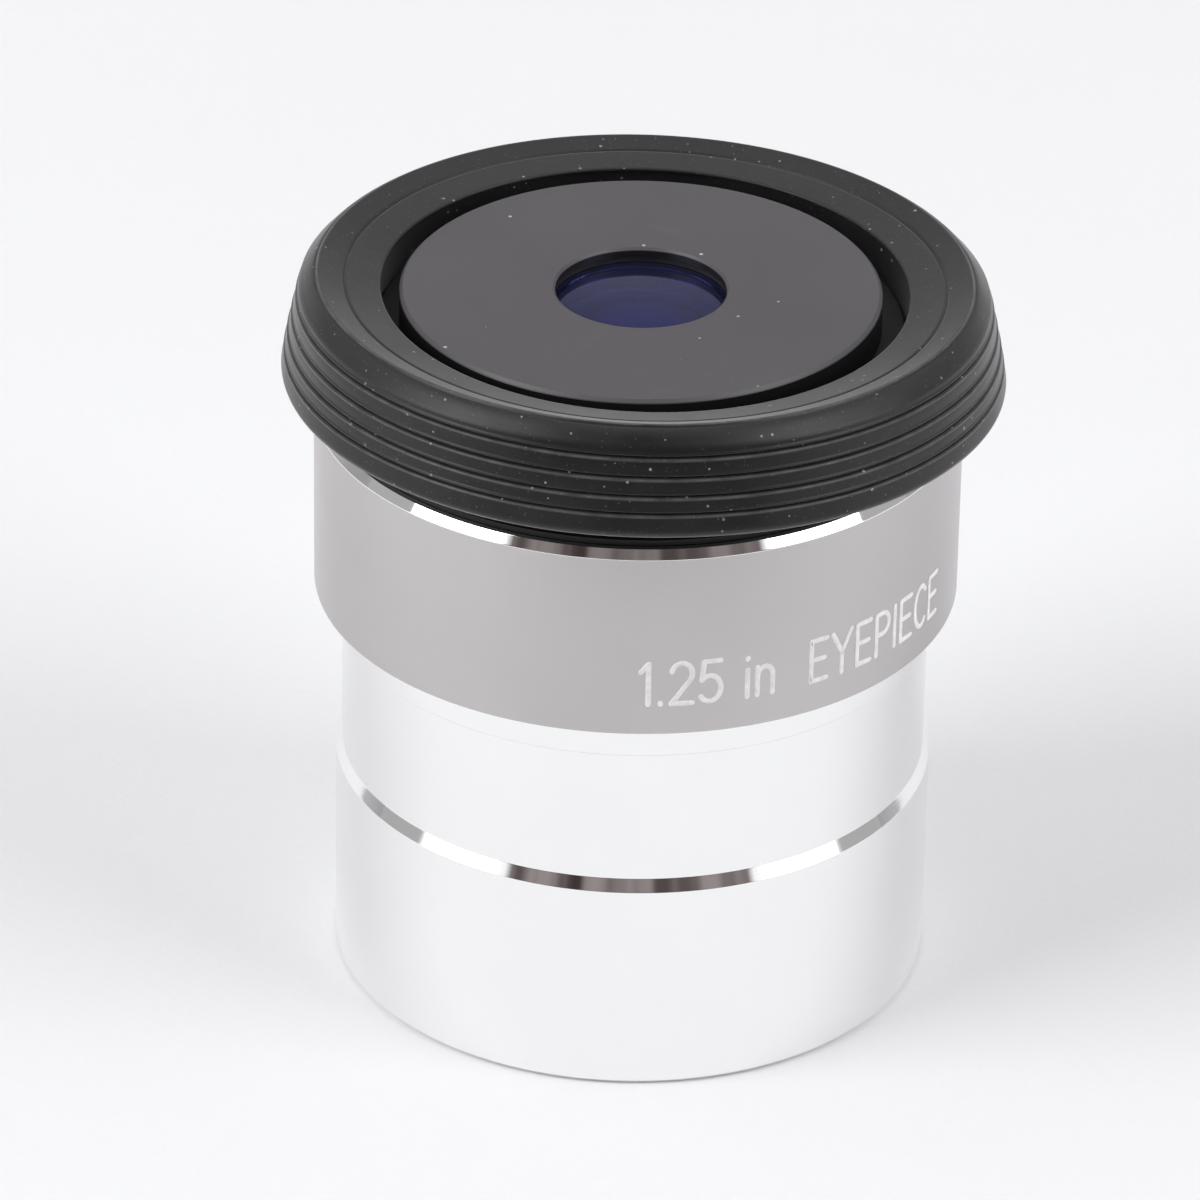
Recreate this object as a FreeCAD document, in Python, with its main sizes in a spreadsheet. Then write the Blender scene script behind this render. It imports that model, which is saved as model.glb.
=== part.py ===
import FreeCAD, Part
import math
import os

import Sketcher

# A telescope eyepiece for a 1.25 inch focuser, standing on the open end of its barrel.
# The frame's origin is the centre of the barrel's open end, and +Z is the optical axis, towards the eye.
# Light comes up the barrel, through the field stop and two cemented doublets, and out of the eye opening.
# Every height below is measured from the barrel's open end, and every size is in millimetres.

SIZES = {
    # barrel: the nose that slides into the focuser
    "barrel_radius": 15.875,
    "barrel_foot_bevel": 0.25,
    "grip_band_top": 11.81,
    "undercut_radius": 15.53,
    "undercut_bottom": 12.47,
    "undercut_top": 20.03,
    "barrel_flange_top": 22.5,
    "screw_neck_radius": 14.9,
    "screw_neck_top": 26.0,
    "screw_neck_bevel": 0.3,
    "filter_mouth_radius": 14.35,
    "filter_mouth_bevel": 0.425,
    "filter_thread_radius": 13.925,
    "filter_thread_top": 5.2,
    "filter_relief_radius": 14.3,
    "filter_relief_top": 6.2,
    "barrel_bore_radius": 13.4,
    # upper housing: the grey shell
    "housing_radius": 17.0,
    "housing_foot": 22.0,
    "housing_foot_bevel": 0.12,
    "flange_recess_radius": 15.93,
    "housing_screw_radius": 14.95,
    "housing_screw_top": 26.4,
    "housing_shoulder_radius": 13.4,
    "housing_shoulder_top": 27.4,
    "neck_screw_bore_radius": 14.2,
    "housing_wall_top": 32.2,
    "housing_bevel_depth": 0.3,
    "housing_bevel_height": 0.48,
    # eye neck: the black tube that carries the lens cell, the top cap and the eyeguard
    "neck_spigot_radius": 14.15,
    "neck_spigot_bottom": 27.45,
    "neck_cavity_radius": 12.9,
    "neck_flange_radius": 16.38,
    "neck_flange_bottom": 32.71,
    "neck_flange_top": 33.0,
    "web_bottom": 29.5,
    "web_top": 31.5,
    "web_bore_radius": 7.0,
    "cap_screw_radius": 11.45,
    "neck_radius": 13.9,
    "neck_top": 36.9,
    "neck_bevel": 0.2,
    "bead_groove_radius": 13.1,
    "bead_groove_bottom": 33.5,
    "bead_groove_top": 35.3,
    # top cap: the black disc with the eye opening
    "cap_radius": 12.57,
    "cap_top": 38.95,
    "cap_edge_bevel": 0.2,
    "cap_spigot_radius": 11.4,
    "cap_plate_bottom": 37.0,
    "cap_hollow_radius": 9.8,
    "eye_opening_radius": 4.47,
    "eye_opening_bevel": 0.12,
    # lens cell: the tube that holds the two doublets and the field stop
    "cell_radius": 6.9,
    "cell_flange_radius": 11.3,
    "cell_flange_top": 32.9,
    "cell_top": 38.45,
    "cell_lip_radius": 4.6,
    "cell_lip_bottom": 38.1,
    "cell_bore_radius": 5.03,
    "cell_screw_radius": 5.8,
    "cell_screw_top": 27.4,
    "cell_bottom": 20.4,
    # the two doublets: each a crown and a flint, with the crowns facing each other
    "lens_radius": 5.0,
    "outer_curve": 60.0,
    "cement_curve": 7.4,
    "inner_curve": 7.6,
    "flint_thickness": 1.1,
    "crown_thickness": 4.35,
    "cement_layer": 0.02,
    "vertex_gap": 0.4,
    "seat_gap": 0.02,
    "spacer_bore_radius": 4.6,
    # rings that screw into the bottom of the lens cell
    "ring_radius": 5.75,
    "retainer_bore_radius": 4.55,
    "retainer_height": 1.4,
    "spanner_slot_width": 0.8,
    "spanner_slot_depth": 0.7,
    "stop_height": 1.2,
    "stop_bore_radius": 5.0,
    "stop_edge_radius": 3.9,
    "stop_edge_height": 0.25,
    # rubber eyeguard, folded down: collar, sleeve and skirt
    "running_gap": 0.05,
    "collar_bottom": 33.06,
    "collar_radius": 15.3,
    "collar_top": 35.6,
    "sleeve_top": 38.85,
    "sleeve_top_bore": 13.95,
    "sleeve_top_radius": 15.45,
    "skirt_seat": 38.88,
    "skirt_mouth_radius": 13.75,
    "skirt_mouth_height": 39.0,
    "skirt_mouth_round": 0.1,
    "crease_radius": 15.66,
    "crease_height": 39.3,
    "crease_depth": 0.08,
    "crest_radius": 17.0,
    "crest_height": 39.7,
    "crest_round": 0.15,
    "crest_fall": 0.03,
    "shoulder_radius": 17.98,
    "shoulder_height": 38.74,
    "rib_step_out": 0.19,
    "rib_pitch": 0.98,
    "rib_notch_depth": 0.13,
    "rib_notch_height": 0.22,
    "rib_edge_out": 0.04,
    "rim_radius": 18.92,
    "rim_top": 34.2,
    "rim_bottom": 33.98,
    "rim_round": 0.2,
    "rim_lean": 0.03,
    "rim_thickness": 1.1,
    "skirt_inner_radius": 16.7,
    "skirt_inner_top": 38.3,
    "skirt_inner_bevel": 0.55,
    "skirt_clearance": 0.1,
}
RIB_COUNT = 4


def surface_drop(curve, radius):
    """How far a spherical surface of that curve falls from its vertex to that radius."""
    return SIZES[curve] - math.sqrt(SIZES[curve] ** 2 - SIZES[radius] ** 2)


# Three heights follow from where a curved lens surface meets the edge that it rests on.
SIZES["eye_vertex_rise"] = round(surface_drop("outer_curve", "cell_lip_radius"), 3)
SIZES["spacer_reach"] = round(surface_drop("inner_curve", "spacer_bore_radius"), 3)
SIZES["retainer_reach"] = round(surface_drop("outer_curve", "retainer_bore_radius"), 3)

doc = FreeCAD.newDocument("eyepiece")
sheet = doc.addObject("Spreadsheet::Sheet", "Dims")
for row, (name, value) in enumerate(SIZES.items(), start=1):
    sheet.set(f"A{row}", name)
    sheet.set(f"B{row}", str(value))
    sheet.setAlias(f"B{row}", name)
doc.recompute()

pieces = []


def terms(words):
    """The signed terms of a sum such as "cap_top - 2*neck_bevel", each as (sign, factor, name or None)."""
    sign = 1.0
    for word in words.split():
        if word in "+-":
            sign = 1.0 if word == "+" else -1.0
        elif word[0].isdigit() and "*" not in word:
            yield sign, float(word), None
        else:
            factor, _, name = word.rpartition("*")
            yield sign, float(factor or 1), name


def length(words):
    """The value in millimetres of a sum of sizes."""
    return sum(sign * factor * (SIZES[name] if name else 1.0) for sign, factor, name in terms(words))


def formula(words):
    """The same sum as a spreadsheet expression in millimetres."""
    parts = []
    for sign, factor, name in terms(words):
        value = f"{factor} * Dims.{name}" if name else f"{factor}"
        parts.append(f"{'-' if sign < 0 else '+'} {value}")
    return f"({' '.join(parts).removeprefix('+ ')}) * 1 mm"


def new_body(label):
    """A PartDesign body for one real piece."""
    body = doc.addObject("PartDesign::Body", label)
    body.Label = label
    pieces.append(body)
    return body


def plane(body, role):
    """One of the body's own origin planes."""
    return next(feature for feature in body.Origin.OriginFeatures if feature.Role == role)


def new_sketch(body, name, role):
    """A sketch on one of the body's origin planes."""
    sketch = body.newObject("Sketcher::SketchObject", name)
    sketch.AttachmentSupport = (plane(body, role), [""])
    sketch.MapMode = "FlatFace"
    return sketch


def bind(sketch, kind, *where, words):
    """Adds a dimension to the sketch and binds it to the sheet."""
    index = sketch.addConstraint(Sketcher.Constraint(kind, *where, length(words)))
    sketch.setExpression(f"Constraints[{index}]", formula(words))


def place(sketch, edge, end, radius, height):
    """Holds one end of an edge at that radius and height, each a sum of sizes."""
    bind(sketch, "DistanceX", -1, 1, edge, end, words=radius)
    bind(sketch, "DistanceY", -1, 1, edge, end, words=height)


def corner(radius, height):
    """The point of a section at that radius and height, each a sum of sizes."""
    return FreeCAD.Vector(length(radius), length(height), 0)


def outline(sketch, corners):
    """A closed outline of straight edges through the corners, each (radius, height)."""
    points = [corner(radius, height) for radius, height in corners]
    for index, (radius, height) in enumerate(corners):
        following = (index + 1) % len(points)
        sketch.addGeometry(Part.LineSegment(points[index], points[following]), False)
        place(sketch, index, 1, radius, height)
    for index in range(len(corners)):
        following = (index + 1) % len(corners)
        sketch.addConstraint(Sketcher.Constraint("Coincident", index, 2, following, 1))


def spin(body, sketch):
    """Turns the sketch once round the optical axis."""
    turned = body.newObject("PartDesign::Revolution", body.Label + "_turned")
    turned.Profile = sketch
    turned.ReferenceAxis = (sketch, ["V_Axis"])
    turned.Angle = 360.0
    sketch.Visibility = False
    return turned


def turned_piece(label, corners):
    """A piece turned on a lathe from one section."""
    body = new_body(label)
    sketch = new_sketch(body, label + "_section", "XZ_Plane")
    outline(sketch, corners)
    spin(body, sketch)
    doc.recompute()
    return body


# --- barrel: bright nose with a safety undercut, a filter thread inside its mouth and a screw neck on top ---
turned_piece(
    "barrel",
    [
        ("filter_mouth_radius", "0"),
        ("barrel_radius - barrel_foot_bevel", "0"),
        ("barrel_radius", "barrel_foot_bevel"),
        ("barrel_radius", "grip_band_top"),
        ("undercut_radius", "undercut_bottom"),
        ("undercut_radius", "undercut_top"),
        ("barrel_radius", "undercut_top"),
        ("barrel_radius", "barrel_flange_top"),
        ("screw_neck_radius", "barrel_flange_top"),
        ("screw_neck_radius", "screw_neck_top - screw_neck_bevel"),
        ("screw_neck_radius - screw_neck_bevel", "screw_neck_top"),
        ("barrel_bore_radius", "screw_neck_top"),
        ("barrel_bore_radius", "filter_relief_top"),
        ("filter_relief_radius", "filter_relief_top"),
        ("filter_relief_radius", "filter_thread_top"),
        ("filter_thread_radius", "filter_thread_top"),
        ("filter_thread_radius", "filter_mouth_bevel"),
    ],
)

# --- upper housing: grey shell that screws onto the barrel, with a diamond-cut rim ---
turned_piece(
    "upper_housing",
    [
        ("flange_recess_radius", "housing_foot"),
        ("housing_radius - housing_foot_bevel", "housing_foot"),
        ("housing_radius", "housing_foot + housing_foot_bevel"),
        ("housing_radius", "housing_wall_top"),
        ("housing_radius - housing_bevel_depth", "housing_wall_top + housing_bevel_height"),
        ("neck_screw_bore_radius", "housing_wall_top + housing_bevel_height"),
        ("neck_screw_bore_radius", "housing_shoulder_top"),
        ("housing_shoulder_radius", "housing_shoulder_top"),
        ("housing_shoulder_radius", "housing_screw_top"),
        ("housing_screw_radius", "housing_screw_top"),
        ("housing_screw_radius", "barrel_flange_top"),
        ("flange_recess_radius", "barrel_flange_top"),
    ],
)

# --- eye neck: black tube in the top of the housing, with a thin flange, a bead groove and a web ---
turned_piece(
    "eye_neck",
    [
        ("neck_cavity_radius", "neck_spigot_bottom"),
        ("neck_spigot_radius", "neck_spigot_bottom"),
        ("neck_spigot_radius", "neck_flange_bottom"),
        ("neck_flange_radius", "neck_flange_bottom"),
        ("neck_flange_radius", "neck_flange_top"),
        ("neck_radius", "neck_flange_top"),
        ("neck_radius", "bead_groove_bottom"),
        ("bead_groove_radius", "bead_groove_bottom"),
        ("bead_groove_radius", "bead_groove_top"),
        ("neck_radius", "bead_groove_top"),
        ("neck_radius", "neck_top - neck_bevel"),
        ("neck_radius - neck_bevel", "neck_top"),
        ("cap_screw_radius", "neck_top"),
        ("cap_screw_radius", "web_top"),
        ("web_bore_radius", "web_top"),
        ("web_bore_radius", "web_bottom"),
        ("neck_cavity_radius", "web_bottom"),
    ],
)

# --- top cap: black disc with the eye opening; its spigot screws into the neck and holds the cell down ---
turned_piece(
    "top_cap",
    [
        ("eye_opening_radius", "cell_top"),
        ("cell_radius + running_gap", "cell_top"),
        ("cell_radius + running_gap", "cap_plate_bottom"),
        ("cap_hollow_radius", "cap_plate_bottom"),
        ("cap_hollow_radius", "cell_flange_top"),
        ("cap_spigot_radius", "cell_flange_top"),
        ("cap_spigot_radius", "neck_top"),
        ("cap_radius", "neck_top"),
        ("cap_radius", "cap_top - cap_edge_bevel"),
        ("cap_radius - cap_edge_bevel", "cap_top"),
        ("eye_opening_radius + eye_opening_bevel", "cap_top"),
        ("eye_opening_radius", "cap_top - eye_opening_bevel"),
    ],
)

# --- lens cell: blackened tube with a lip at the eye end and a wide screw thread at the field end ---
turned_piece(
    "lens_cell",
    [
        ("cell_screw_radius", "cell_bottom"),
        ("cell_radius", "cell_bottom"),
        ("cell_radius", "web_top"),
        ("cell_flange_radius", "web_top"),
        ("cell_flange_radius", "cell_flange_top"),
        ("cell_radius", "cell_flange_top"),
        ("cell_radius", "cell_top"),
        ("cell_lip_radius", "cell_top"),
        ("cell_lip_radius", "cell_lip_bottom"),
        ("cell_bore_radius", "cell_lip_bottom"),
        ("cell_bore_radius", "cell_screw_top"),
        ("cell_screw_radius", "cell_screw_top"),
    ],
)


# --- lenses: four elements, cemented in pairs ---
def lens(label, top, bottom):
    """A lens between two spherical surfaces, each (vertex height, curve, where its centre is)."""
    body = new_body(label)
    sketch = new_sketch(body, label + "_section", "XZ_Plane")
    edge = length("lens_radius")
    rims = []
    for vertex, curve, centre_side in (top, bottom):
        side = -1 if centre_side == "below" else 1
        curve_radius = length(curve)
        centre = FreeCAD.Vector(0, length(vertex) + side * curve_radius, 0)
        slope = math.acos(edge / curve_radius)
        span = (slope, math.pi / 2) if side < 0 else (-math.pi / 2, -slope)
        circle = Part.Circle(centre, FreeCAD.Vector(0, 0, 1), curve_radius)
        arc = sketch.addGeometry(Part.ArcOfCircle(circle, *span), False)
        vertex_end, rim_end = (2, 1) if side < 0 else (1, 2)
        sketch.addConstraint(Sketcher.Constraint("PointOnObject", arc, 3, -2))
        sketch.addConstraint(Sketcher.Constraint("PointOnObject", arc, vertex_end, -2))
        bind(sketch, "Radius", arc, words=curve)
        bind(sketch, "DistanceY", -1, 1, arc, vertex_end, words=vertex)
        bind(sketch, "DistanceX", -1, 1, arc, rim_end, words="lens_radius")
        rim = length(vertex) + side * surface_drop(curve, "lens_radius")
        rims.append((arc, vertex_end, rim_end, length(vertex), rim))
    (top_arc, top_vertex, top_rim, top_z, top_rim_z), (low_arc, low_vertex, low_rim, low_z, low_rim_z) = rims
    axis_from, axis_to = FreeCAD.Vector(0, top_z, 0), FreeCAD.Vector(0, low_z, 0)
    rim_from, rim_to = FreeCAD.Vector(edge, low_rim_z, 0), FreeCAD.Vector(edge, top_rim_z, 0)
    axis = sketch.addGeometry(Part.LineSegment(axis_from, axis_to), False)
    rim = sketch.addGeometry(Part.LineSegment(rim_from, rim_to), False)
    for first, first_end, second, second_end in (
        (axis, 1, top_arc, top_vertex),
        (axis, 2, low_arc, low_vertex),
        (rim, 1, low_arc, low_rim),
        (rim, 2, top_arc, top_rim),
    ):
        sketch.addConstraint(Sketcher.Constraint("Coincident", first, first_end, second, second_end))
    spin(body, sketch)
    doc.recompute()
    return body


# The stack hangs from the cell's lip: each height below follows from the one above it.
EYE_VERTEX = "cell_lip_bottom + eye_vertex_rise - seat_gap"
EYE_CEMENT = EYE_VERTEX + " - flint_thickness"
EYE_CROWN_BOTTOM = EYE_CEMENT + " - cement_layer - crown_thickness"
FIELD_CROWN_TOP = EYE_CROWN_BOTTOM + " - vertex_gap"
FIELD_CEMENT = FIELD_CROWN_TOP + " - crown_thickness"
FIELD_VERTEX = FIELD_CEMENT + " - cement_layer - flint_thickness"

lens("eye_flint_lens", (EYE_VERTEX, "outer_curve", "below"), (EYE_CEMENT, "cement_curve", "below"))
lens(
    "eye_crown_lens",
    (EYE_CEMENT + " - cement_layer", "cement_curve", "below"),
    (EYE_CROWN_BOTTOM, "inner_curve", "above"),
)
lens(
    "field_crown_lens",
    (FIELD_CROWN_TOP, "inner_curve", "below"),
    (FIELD_CEMENT, "cement_curve", "above"),
)
lens(
    "field_flint_lens",
    (FIELD_CEMENT + " - cement_layer", "cement_curve", "above"),
    (FIELD_VERTEX, "outer_curve", "above"),
)

# --- spacer: thin blackened tube between the crowns, which bears on them with its inner edges ---
SPACER_BOTTOM = FIELD_CROWN_TOP + " - spacer_reach + seat_gap"
SPACER_TOP = EYE_CROWN_BOTTOM + " + spacer_reach - seat_gap"
turned_piece(
    "lens_spacer",
    [
        ("spacer_bore_radius", SPACER_BOTTOM),
        ("lens_radius", SPACER_BOTTOM),
        ("lens_radius", SPACER_TOP),
        ("spacer_bore_radius", SPACER_TOP),
    ],
)


def spanner_slots(body, height, reach):
    """Two slots across a ring's underside, for a pin spanner."""
    sketch = new_sketch(body, body.Label + "_slot", "XZ_Plane")
    outline(
        sketch,
        [
            ("0 - 0.5*spanner_slot_width", height),
            ("0.5*spanner_slot_width", height),
            ("0.5*spanner_slot_width", height + " + spanner_slot_depth"),
            ("0 - 0.5*spanner_slot_width", height + " + spanner_slot_depth"),
        ],
    )
    before = body.Tip.Shape.Volume
    slot = body.newObject("PartDesign::Pocket", body.Label + "_slots")
    slot.Profile = sketch
    slot.Type = "Length"
    slot.Midplane = True
    slot.setExpression("Length", formula(f"2*{reach}"))
    sketch.Visibility = False
    doc.recompute()
    if not body.Tip.Shape.Volume < before:
        raise RuntimeError(f"the spanner slots of {body.Label} cut nothing")


# --- retaining ring: holds the lens stack up against the cell's lip ---
RETAINER_TOP = FIELD_VERTEX + " + retainer_reach - seat_gap"
retainer = turned_piece(
    "lens_retaining_ring",
    [
        ("retainer_bore_radius", RETAINER_TOP + " - retainer_height"),
        ("ring_radius", RETAINER_TOP + " - retainer_height"),
        ("ring_radius", RETAINER_TOP),
        ("retainer_bore_radius", RETAINER_TOP),
    ],
)
spanner_slots(retainer, RETAINER_TOP + " - retainer_height", "ring_radius")

# --- field stop: ring with a thin sharp edge that bounds the view ---
stop = turned_piece(
    "field_stop",
    [
        ("stop_bore_radius", "cell_bottom"),
        ("ring_radius", "cell_bottom"),
        ("ring_radius", "cell_bottom + stop_height"),
        ("stop_edge_radius", "cell_bottom + stop_height"),
        ("stop_edge_radius", "cell_bottom + stop_height - stop_edge_height"),
        ("stop_bore_radius", "cell_bottom + 0.5*stop_height"),
    ],
)
spanner_slots(stop, "cell_bottom", "ring_radius")

# --- eyeguard collar: the rubber bead that grips the groove of the neck ---
turned_piece(
    "eyeguard_collar",
    [
        ("neck_radius + running_gap", "collar_bottom"),
        ("collar_radius", "collar_bottom"),
        ("collar_radius", "collar_top"),
        ("neck_radius + running_gap", "collar_top"),
        ("neck_radius + running_gap", "bead_groove_top - running_gap"),
        ("bead_groove_radius + running_gap", "bead_groove_top - running_gap"),
        ("bead_groove_radius + running_gap", "bead_groove_bottom + running_gap"),
        ("neck_radius + running_gap", "bead_groove_bottom + running_gap"),
    ],
)

# --- eyeguard sleeve: the wall that lengthens as the folded skirt is rolled up ---
turned_piece(
    "eyeguard_sleeve",
    [
        ("neck_radius + running_gap", "collar_top"),
        ("collar_radius", "collar_top"),
        ("sleeve_top_radius", "sleeve_top"),
        ("sleeve_top_bore", "sleeve_top"),
    ],
)

# --- eyeguard skirt: the folded part, with a flat top, a crease, a crest, four notched ribs and a rim ---
skirt_outline = [
    ("skirt_mouth_radius + skirt_mouth_round", "skirt_seat"),
    ("skirt_mouth_radius", "skirt_mouth_height"),
    ("skirt_mouth_radius + skirt_mouth_round", "skirt_mouth_height + skirt_mouth_round"),
    ("crease_radius - crease_depth", "crease_height"),
    ("crease_radius", "crease_height - crease_depth"),
    ("crease_radius + crease_depth", "crease_height"),
    ("crest_radius - crest_round", "crest_height"),
    ("crest_radius", "crest_height - crest_fall"),
]
for rib in range(RIB_COUNT):
    out = f"shoulder_radius + {rib}*rib_step_out"
    down = f"shoulder_height - {rib}*rib_pitch"
    skirt_outline += [
        (out, down),
        (out + " - rib_notch_depth", down + " - 0.5*rib_notch_height"),
        (out + " + rib_edge_out", down + " - rib_notch_height"),
    ]
skirt_outline += [
    ("rim_radius - rim_lean", "rim_top + rim_round"),
    ("rim_radius", "rim_top"),
    ("rim_radius - rim_round", "rim_bottom"),
    ("rim_radius - rim_thickness", "rim_bottom + skirt_clearance"),
    ("skirt_inner_radius", "skirt_inner_top - skirt_inner_bevel"),
    ("skirt_inner_radius - skirt_inner_bevel", "skirt_inner_top"),
    ("sleeve_top_radius + skirt_clearance", "skirt_inner_top + skirt_clearance"),
    ("sleeve_top_radius + skirt_clearance", "skirt_seat"),
]
turned_piece("eyeguard_skirt", skirt_outline)

# --- check every piece, then write one STEP file for each ---
doc.recompute()
failed = [item.Name for item in doc.Objects if {"Invalid", "Error"} & set(item.State)]
if failed:
    raise RuntimeError(f"these objects failed to build: {failed}")
os.makedirs("parts", exist_ok=True)
for body in pieces:
    shape = body.Shape
    if shape.isNull() or not shape.isValid() or not shape.Solids:
        raise RuntimeError(f"{body.Label} is not a valid solid")
    shape.exportStep(os.path.join("parts", body.Label + ".step"))
    box = shape.BoundBox
    print(
        f"{body.Label:20s} solids {len(shape.Solids)}  volume {shape.Volume:9.2f} mm3"
        f"  radius {box.XMax:6.3f}  height {box.ZMin:6.3f} to {box.ZMax:6.3f}"
    )
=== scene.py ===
import bmesh
import bpy
import numpy as np
from mathutils import Matrix


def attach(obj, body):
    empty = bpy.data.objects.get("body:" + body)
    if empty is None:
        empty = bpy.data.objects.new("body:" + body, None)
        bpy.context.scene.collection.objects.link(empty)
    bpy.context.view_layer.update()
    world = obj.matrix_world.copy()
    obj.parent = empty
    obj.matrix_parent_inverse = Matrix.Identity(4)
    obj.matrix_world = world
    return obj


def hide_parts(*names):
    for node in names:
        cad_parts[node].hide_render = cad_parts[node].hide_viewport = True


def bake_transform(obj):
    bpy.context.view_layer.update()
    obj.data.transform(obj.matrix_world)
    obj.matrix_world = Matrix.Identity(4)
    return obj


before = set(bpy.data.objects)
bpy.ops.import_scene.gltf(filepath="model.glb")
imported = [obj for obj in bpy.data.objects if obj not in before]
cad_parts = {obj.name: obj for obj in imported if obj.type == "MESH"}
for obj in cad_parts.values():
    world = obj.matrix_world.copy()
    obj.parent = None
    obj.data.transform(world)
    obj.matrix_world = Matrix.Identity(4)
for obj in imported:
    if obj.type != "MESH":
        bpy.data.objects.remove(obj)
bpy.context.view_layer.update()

# --- Table and backdrop ---------------------------------------------------------------------------
# A sheet of white card: it lies flat under the eyepiece and curves up far behind it. It is sprayed with a
# faint grain, like heavy drawing paper.


def node(tree, kind, inputs=None, **settings):
    """Adds a shader node: settings are its own properties, and inputs are values or sockets."""
    made = tree.nodes.new("ShaderNode" + kind)
    for name, value in settings.items():
        setattr(made, name, value)
    for name, value in (inputs or {}).items():
        if isinstance(value, bpy.types.NodeSocket):
            tree.links.new(value, made.inputs[name])
        else:
            made.inputs[name].default_value = value
    return made


def number(tree, operation, *values, clamp=False):
    """The result of one Math node on values or sockets."""
    return node(tree, "Math", dict(enumerate(values)), operation=operation, use_clamp=clamp).outputs[0]


def blend_colour(tree, share, low, high):
    """The colour between low and high by that share."""
    mixed = node(tree, "Mix", {0: share, 6: low, 7: high}, data_type="RGBA")
    return mixed.outputs[2]


def new_material(name):
    """An empty material and its Principled shader."""
    material = bpy.data.materials.new(name)
    material.use_nodes = True
    return material.node_tree, material.node_tree.nodes["Principled BSDF"], material


def object_place(tree):
    """The point on the piece in the frame's own metres."""
    return node(tree, "TexCoord").outputs["Object"]


def grid_mesh(name, points, rows_close=True, columns_close=True):
    """A surface through a grid of points: four neighbours make a face, and a closed side joins its start."""
    rows, columns = points.shape[:2]
    index = np.arange(rows * columns).reshape(rows, columns)
    across = np.roll(index, -1, axis=1)
    along = np.roll(index, -1, axis=0)
    quads = np.stack([index, across, np.roll(across, -1, axis=0), along], axis=-1)
    last_row = rows if rows_close else rows - 1
    last_column = columns if columns_close else columns - 1
    quads = quads[:last_row, :last_column].reshape(-1, 4)
    mesh = bpy.data.meshes.new(name)
    mesh.vertices.add(rows * columns)
    mesh.vertices.foreach_set("co", points.astype(np.float32).ravel())
    mesh.loops.add(quads.size)
    mesh.loops.foreach_set("vertex_index", quads.astype(np.int32).ravel())
    mesh.polygons.add(len(quads))
    mesh.polygons.foreach_set("loop_start", np.arange(0, quads.size, 4, dtype=np.int32))
    mesh.polygons.foreach_set("use_smooth", np.ones(len(quads), dtype=bool))
    mesh.update(calc_edges=True)
    mesh.validate()
    return mesh


def new_piece(name, mesh, material):
    """An object at the origin that shows the mesh in that material."""
    piece = bpy.data.objects.new(name, mesh)
    bpy.context.scene.collection.objects.link(piece)
    mesh.materials.append(material)
    return piece


CARD_HALF_WIDTH, CARD_FRONT, CARD_BACK = 6.0, -3.0, 0.9
CARD_BEND, CARD_RISE = 0.5, 1.6
# Nearer the viewer than this depth the card is painted dark for reflections only: a painted reflection.
TABLE_PAINTED_DARK_TO = -0.11
CARD_DIM, CARD_PALE = (0.83, 0.835, 0.85, 1), (0.86, 0.865, 0.875, 1)
CARD_PAINTED_DARK = (0.06, 0.052, 0.050, 1)
# The card's side view is a flat run, a quarter turn and an upright run.
turn = np.linspace(0, np.pi / 2, 24)
card_y = np.concatenate([[CARD_FRONT, 0], CARD_BACK + CARD_BEND * np.sin(turn), [CARD_BACK + CARD_BEND]])
card_z = np.concatenate([[0, 0], CARD_BEND * (1 - np.cos(turn)), [CARD_RISE]])
card_x = np.linspace(-CARD_HALF_WIDTH, CARD_HALF_WIDTH, 9)
card_points = np.stack(np.broadcast_arrays(card_x[None, :], card_y[:, None], card_z[:, None]), axis=-1)

tree, shader, card_finish = new_material("white_card")
card_grain = node(tree, "TexNoise", {"Vector": object_place(tree), "Scale": 2600.0, "Detail": 3.0})
card_mottle = node(tree, "TexNoise", {"Vector": object_place(tree), "Scale": 22.0, "Detail": 2.0})
card_colour = blend_colour(tree, card_mottle.outputs["Fac"], CARD_DIM, CARD_PALE)
# Painted reflection: near the viewer the card's colour is dark for every ray but the camera's, so the metal
# and the rubber reflect a dark stretch there while the camera sees white card.
card_depth = node(tree, "SeparateXYZ", {0: object_place(tree)}).outputs[1]
near_viewer = number(tree, "LESS_THAN", card_depth, TABLE_PAINTED_DARK_TO)
painted_dark_reflection = number(tree, "SUBTRACT", near_viewer, node(tree, "LightPath").outputs["Is Camera Ray"], clamp=True)
card_colour = blend_colour(tree, painted_dark_reflection, card_colour, CARD_PAINTED_DARK)
tree.links.new(card_colour, shader.inputs["Base Color"])
card_bump = node(tree, "Bump", {"Height": card_grain.outputs["Fac"], "Strength": 0.25, "Distance": 0.0001})
tree.links.new(card_bump.outputs["Normal"], shader.inputs["Normal"])
shader.inputs["Roughness"].default_value = 0.85
shader.inputs["Specular IOR Level"].default_value = 0.2
new_piece("white_card", grid_mesh("white_card", card_points, False, False), card_finish)

# --- Light ----------------------------------------------------------------------------------------
# A white room that is dark behind the viewer, with a tall soft box on each side and a grey flag beyond
# each. The polished bevels show the boxes as bright stretches, and the dark end and the flags as dark
# ones between them. Angles are in degrees from the direction of the viewer.

ROOM_WHITE = (0.99, 0.99, 1.00, 1)
SEEN_WHITE = (0.90, 0.905, 0.92, 1)
DARK_END_BROWN, DARK_END_GREY = (0.05, 0.038, 0.036, 1), (0.30, 0.26, 0.26, 1)
DARK_END_HALF_WIDTH, DARK_END_HEIGHTS = 46.0, (-30.0, 66.0)
FLAG_WIDTHS, FLAG_HEIGHTS = (82.5, 106.0), (2.0, 38.0)
FLAG_GREY = (0.42, 0.415, 0.42, 1)


def scaled(tree, value, old, new):
    """The value moved from the old range to the new one, and held at its ends."""
    ends = {"From Min": old[0], "From Max": old[1], "To Min": new[0], "To Max": new[1]}
    return node(tree, "MapRange", {"Value": value, **ends}).outputs[0]


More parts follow.
